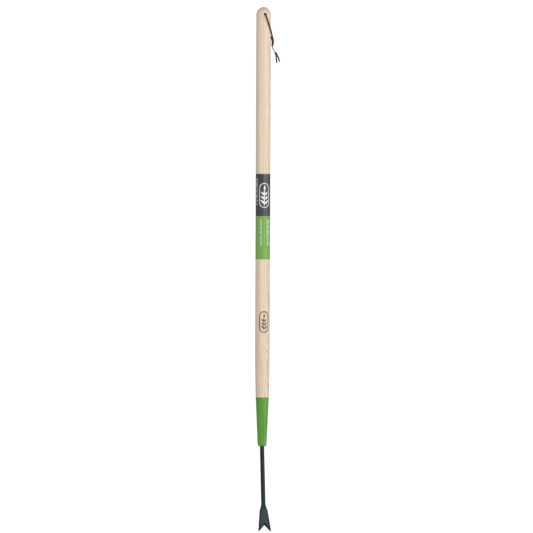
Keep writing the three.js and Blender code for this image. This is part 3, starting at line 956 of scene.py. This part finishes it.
def ferrule_profile():
    """(radius, z) round the ferrule's wall, from the rod hole, up the outside and back down the inside."""
    hole = ROD_R + 0.15 * MM
    foot = FERRULE_LOW.z
    profile = [(hole, foot + 0.3 * MM), (hole + 0.3 * MM, foot)]
    corner_r = FERRULE_FOOT_R - FERRULE_CORNER
    for angle in spread(0, math.pi / 2, 8):
        r = corner_r + FERRULE_CORNER * math.sin(angle)
        profile.append((r, foot + FERRULE_CORNER * (1 - math.cos(angle))))
    for off, sink in GROOVE:
        z = GROOVE_Z + off * MM
        profile.append((cone_radius(z) - sink * MM, z))
    for z in spread(GROOVE_Z + 2 * MM, BEAD_LOW - 0.6 * MM, 39)[1:]:
        profile.append((cone_radius(z), z))
    profile.append((cone_radius(BEAD_LOW) - 0.28 * MM, BEAD_LOW - 0.05 * MM))
    for share in spread(0, 1, 8):
        z = lerp(BEAD_LOW + 0.1 * MM, FERRULE_HIGH.z, share)
        crown = math.sin(math.pi * lerp(0.06, 0.92, share)) ** 0.6
        profile.append((cone_radius(z) + RIM_PROUD * crown, z))
    profile.append((FERRULE_TOP_R - 0.35 * MM, FERRULE_HIGH.z + 0.05 * MM))
    profile.append((FERRULE_TOP_R - FERRULE_WALL, FERRULE_HIGH.z - 0.1 * MM))
    floor = foot + FERRULE_WALL
    for z in (PIN_LOW.z + 8 * MM, PIN_LOW.z - 4 * MM, floor + FERRULE_CORNER):
        profile.append((cone_radius(z) - FERRULE_WALL, z))
    profile += [(corner_r, floor), (hole, floor)]
    return profile


def add_ferrule():
    """The pressed steel ferrule, with the closed seam of its rolled sheet down the back."""
    around = even_angles(FERRULE_SIDES)
    around += [SEAM_ANGLE + math.radians(x) for x in (-2.2, -1.3, -0.6, 0, 0.6, 1.3, 2.2)]
    rings = []
    for radius, z in ferrule_profile():
        ring = []
        outer = radius > cone_radius(z) - FERRULE_WALL / 2 and z > FERRULE_LOW.z + 0.2 * MM
        for angle in sorted(around):
            off = abs(angle - SEAM_ANGLE) * radius
            clear = smooth(off, 0, SEAM_HALF)
            lift = SEAM_SWELL * smooth(off, 1.2 * MM, SEAM_HALF) * clear - SEAM_DEPTH * (1 - clear)
            ring.append(on_axis(radius + (lift if outer else 0), angle, z))
        rings.append(ring)
    make("ferrule_socket", loft(rings, closed=True), green_enamel(), ("ferrule",), sharp=55)


def add_pin():
    """The pin's set head, bedded on the ferrule's curve, and its shank through to the tang."""
    z0 = (PIN_LOW.z + PIN_HIGH.z) / 2
    shank_end = cone_radius(z0) - 0.6 * MM

    def bed(x, z):
        return math.sqrt(cone_radius(z0 + z) ** 2 - x * x) + 0.02 * MM

    def ring(radius, depth):
        """A ring round the pin, whose depth is a function of a corner's way from the middle."""
        ways = [(math.cos(angle), math.sin(angle)) for angle in even_angles(PIN_SIDES)]
        return [Vector((radius * x, depth(x, z), z0 + radius * z)) for x, z in ways]

    rings = [[Vector((0, PIN_LOW.y, z0))]]
    shank = [(PIN_R * 0.7, PIN_LOW.y), (PIN_R, PIN_LOW.y + 0.5 * MM), (PIN_R, shank_end)]
    for radius, y in shank:
        rings.append(ring(radius, lambda x, z: y))
    for radius in (PIN_R, PIN_HEAD_R * 0.96):
        rings.append(ring(radius, lambda x, z: bed(radius * x, radius * z)))
    for angle in spread(0, math.pi / 2, 8)[:-1]:
        lift = math.sin(angle)

        def crown(x, z):
            return lerp(bed(PIN_HEAD_R * x, PIN_HEAD_R * z) + 0.35 * MM, PIN_HIGH.y, lift)

        rings.append(ring(PIN_HEAD_R * math.cos(angle) ** 0.75, crown))
    rings.append([Vector((0, PIN_HIGH.y, z0))])
    make("pin_rivet", loft(rings), pin_steel(), ("tang_pin",), sharp=50)


# -------------------- fork head

FORK_SIDES = 64
PLAIN = [0] * FORK_SIDES
MIDDLE_STEP = 0.5 * MM
DENT_WIDTH = 7 * MM  # about how far the hammer's dents on the blade are apart
DENT_DEPTH = 0.11 * MM
BEVEL_STEPS = (1.16, 1.04, 0.97, 0.8, 0.55, 0.3, 0.12, 0)  # in heights of the bevel above the lower edge


def lean(z):
    """How far the head leans forwards at a height."""
    bend = smooth(z, ROD_BEND + BEND_REACH, ROD_BEND - BEND_REACH)
    return ROD_LEAN * bend + (BLADE_LEAN - ROD_LEAN) * smooth(z, SHOULDER_TOP, SHOULDER)


def middle_line():
    """The middle line's y at each step down from where the rod is straight, worked out from its lean."""
    places = [0]
    z = STRAIGHT_END
    while z > FORK_LOW.z - 3 * MM:
        places.append(places[-1] - math.tan(lean(z - MIDDLE_STEP / 2)) * MIDDLE_STEP)
        z -= MIDDLE_STEP
    return places


MIDDLE_PLACES = middle_line()


def middle_y(z):
    at = max(0, (STRAIGHT_END - z) / MIDDLE_STEP)
    i = min(int(at), len(MIDDLE_PLACES) - 2)
    return lerp(MIDDLE_PLACES[i], MIDDLE_PLACES[i + 1], at - i)


def drawn_out(z, top, shoulder, tip):
    """A half size of the head at a height: the rod's above top, and the blade's, which tapers evenly from
    shoulder to tip, with a smooth curve between them."""
    slope = (tip - shoulder) / (SHOULDER - FORK_LOW.z)
    span = top - SHOULDER
    share = (top - z) / span
    if share <= 0:
        return ROD_R
    if share < 1:
        ease = share * share * (3 - 2 * share)
        return lerp(ROD_R, shoulder, ease) + span * slope * (share**3 - share**2)
    return shoulder + (SHOULDER - z) * slope


def half_width(z):
    return drawn_out(z, FLARE_TOP, SHOULDER_HALF_WIDTH, TIP_HALF_WIDTH)


def half_thick(z):
    return drawn_out(z, SHOULDER_TOP, SHOULDER_THICK / 2, TIP_THICK / 2)


def head_section(z):
    """The head's section at a height: round in the rod, and squarer down the blade."""
    power = 2 + 0.4 * smooth(z, SHOULDER_TOP, SHOULDER) + 0.3 * smooth(z, SHOULDER, FORK_LOW.z)
    return section(FORK_SIDES, power)


def near_side(across):
    return smooth(abs(across), 0.6, 1)


def edge_height(x):
    """Height of the head's lower edge at a distance from its middle: up to the notch, round at the tips."""
    notch_side = lerp(NOTCH, FORK_LOW.z, x / (TIP_HALF_WIDTH - TIP_BLUNT))
    corner = max(0, x - TIP_HALF_WIDTH + TIP_CORNER)
    return max(notch_side, FORK_LOW.z + corner**2 / TIP_CORNER)


def head_point(x, z, out_share, front_share=1.0):
    """A point of the head's skin. front_share thins the blade from its front face, for the bevel."""
    lean_here = lean(z)
    back = Vector((0, math.cos(lean_here), -math.sin(lean_here)))
    off = out_share * half_thick(z)
    if out_share < 0 and front_share < 1:
        full = -2 * off
        off = -off - lerp(min(full, EDGE_THICK), full, front_share)
    dent = 0
    if z < SHOULDER_TOP:
        swing = noise.noise(Vector((x, z * 0.8, out_share * 4 * MM)) / DENT_WIDTH)
        dent = DENT_DEPTH * swing * smooth(z, SHOULDER_TOP, SHOULDER)
    return Vector((x, middle_y(z), z)) + back * (off + math.copysign(dent, off))


def add_fork(material):
    rings = [[Vector((0, 0, FORK_HIGH.z))]]
    edge = [0]  # 1 along the blade's sides and its lower edge, where shade and rub are painted
    bevel_shade = [0]  # 1 on the ground bevel, where shade is painted

    def keep(ring, edges=PLAIN, bevel_shades=PLAIN):
        rings.append(ring)
        edge.extend(edges)
        bevel_shade.extend(bevel_shades)

    tang = [
        (TANG_TIP_R * 0.8, 0),
        (TANG_TIP_R, 0.4 * MM),
        (lerp(TANG_TIP_R, ROD_R, 0.97), TANG_TIP_LENGTH - 0.6 * MM),
        (ROD_R, TANG_TIP_LENGTH + 0.4 * MM),
    ]
    tang += [(ROD_R, FORK_HIGH.z - z) for z in spread(FORK_HIGH.z - 20 * MM, STRAIGHT_END, 8)]
    for radius, depth in tang:
        z = FORK_HIGH.z - depth
        keep([Vector((radius * x, radius * y, z)) for x, y in head_section(z)])
    lower = spread(ROD_BEND + BEND_REACH, ROD_BEND - BEND_REACH, 8)
    lower += spread(ROD_BEND - 14 * MM, SHOULDER_TOP + 4 * MM, 12)
    lower += spread(SHOULDER_TOP, SHOULDER - 2 * MM, 22)
    for z in lower:
        corners = head_section(z)
        flat = smooth(z, SHOULDER_TOP, SHOULDER)
        ring = [head_point(x * half_width(z), z, out) for x, out in corners]
        keep(ring, [near_side(x) * flat for x, _ in corners])
    steps = [("face", share) for share in spread(0, 1, 16)[1:-1]]
    for kind, share in steps + [("bevel", share) for share in BEVEL_STEPS]:
        ring = []
        sides = []
        bevel_shades = []
        for across, out in head_section(FORK_LOW.z):
            z_edge = edge_height(abs(across) * TIP_HALF_WIDTH)
            # Each corner slides outwards on its way down, to meet the lower edge where its height was taken
            shift = across * (TIP_HALF_WIDTH - half_width(z_edge))
            if kind == "face":
                z = lerp(lower[-1], z_edge + BEVEL_STEPS[0] * BEVEL, share)
                x = across * half_width(z) + shift * share**2
                ring.append(head_point(x, z, out))
                sides.append(near_side(across))
                bevel_shades.append(0)
            else:
                z = z_edge + share * BEVEL
                ring.append(head_point(across * half_width(z) + shift, z, out, min(share, 1)))
                sides.append(max(near_side(across), smooth(share, 0.25, 0)))
                bevel_shades.append(1 if share < 1 and out < 0.001 else 0)
        keep(ring, sides, bevel_shades)
    vertices, faces = loft(rings)
    faces.pop()  # the last ring is closed from its front to its back instead
    start = len(vertices) - FORK_SIDES
    for i in range(FORK_SIDES // 2):
        corners = (i, i + 1, (FORK_SIDES - i - 1) % FORK_SIDES, (FORK_SIDES - i) % FORK_SIDES)
        faces.append(tuple(dict.fromkeys(start + corner for corner in corners)))
    head = make("fork_forging", (vertices, faces), material, ("fork_head",), sharp=28)
    store(head, "edge", edge)
    store(head, "bevel_shade", bevel_shade)


# -------------------- stage and light

FLOOR_DROP = 260 * MM  # the tool hangs this far above the floor
FLOOR_HALF = 14


def add_stage():
    z = FORK_LOW.z - FLOOR_DROP
    corners = [(-1, -1), (1, -1), (1, 1), (-1, 1)]
    mesh = bpy.data.meshes.new("floor")
    mesh.from_pydata([(x * FLOOR_HALF, y * FLOOR_HALF, z) for x, y in corners], [], [(0, 1, 2, 3)])
    mesh.materials.append(floor_paper())
    floor = new_object("floor", mesh)


# Name, azimuth and elevation in degrees, distance, width and height in metres, watts, and whether mirrored
LIGHTS = [
    ("key_light", 14, 22, 3.2, 1.3, 2.3, 50, True),
    ("side_light", 54, 8, 3.0, 0.45, 2.4, 23, True),
    ("fill_light", -62, 12, 3.6, 3.0, 2.6, 42, False),
    ("back_light", 180, 40, 3.4, 1.6, 2.0, 8, True),
]


def add_light(name, azimuth, elevation, distance, width, height, power, mirrored):
    """A soft rectangular light aimed at the middle of the tool. Azimuth 0 is the front, and 90 is +X. One
    that is not mirrored leaves no highlight."""
    a = math.radians(azimuth)
    e = math.radians(elevation)
    middle = Vector((0, 0, (HANDLE_HIGH.z + FORK_LOW.z) / 2))
    away = Vector((math.sin(a) * math.cos(e), -math.cos(a) * math.cos(e), math.sin(e)))
    data = bpy.data.lights.new(name, "AREA")
    data.shape = "RECTANGLE"
    data.size = width
    data.size_y = height
    data.energy = power
    light = new_object(name, data)
    light.visible_glossy = mirrored
    light.location = middle + away * distance
    light.rotation_mode = "QUATERNION"
    light.rotation_quaternion = (-away).to_track_quat("-Z", "Y")


def add_world():
    """White to look at, and a softer grey to light the tool by."""
    world = bpy.data.worlds.new("studio")
    world.use_nodes = True
    tree = world.node_tree
    tree.nodes.clear()
    output = tree.nodes.new("ShaderNodeOutputWorld")
    choose = tree.nodes.new("ShaderNodeMixShader")
    for socket, colour, strength in ((1, (0.98, 0.99, 1, 1), 0.3), (2, (1, 1, 1, 1), 1.05)):
        background = tree.nodes.new("ShaderNodeBackground")
        background.inputs["Color"].default_value = colour
        background.inputs["Strength"].default_value = strength
        tree.links.new(background.outputs[0], choose.inputs[socket])
    ray = tree.nodes.new("ShaderNodeLightPath")
    tree.links.new(ray.outputs["Is Camera Ray"], choose.inputs[0])
    tree.links.new(choose.outputs[0], output.inputs[0])
    bpy.context.scene.world = world


def main():
    bpy.context.scene.view_settings.view_transform = "Standard"
    add_camera()
    add_thong()
    add_handle(ash_wood())
    add_labels()
    add_ferrule()
    add_pin()
    add_fork(forged_steel())
    add_stage()
    add_world()
    for light in LIGHTS:
        add_light(*light)


main()
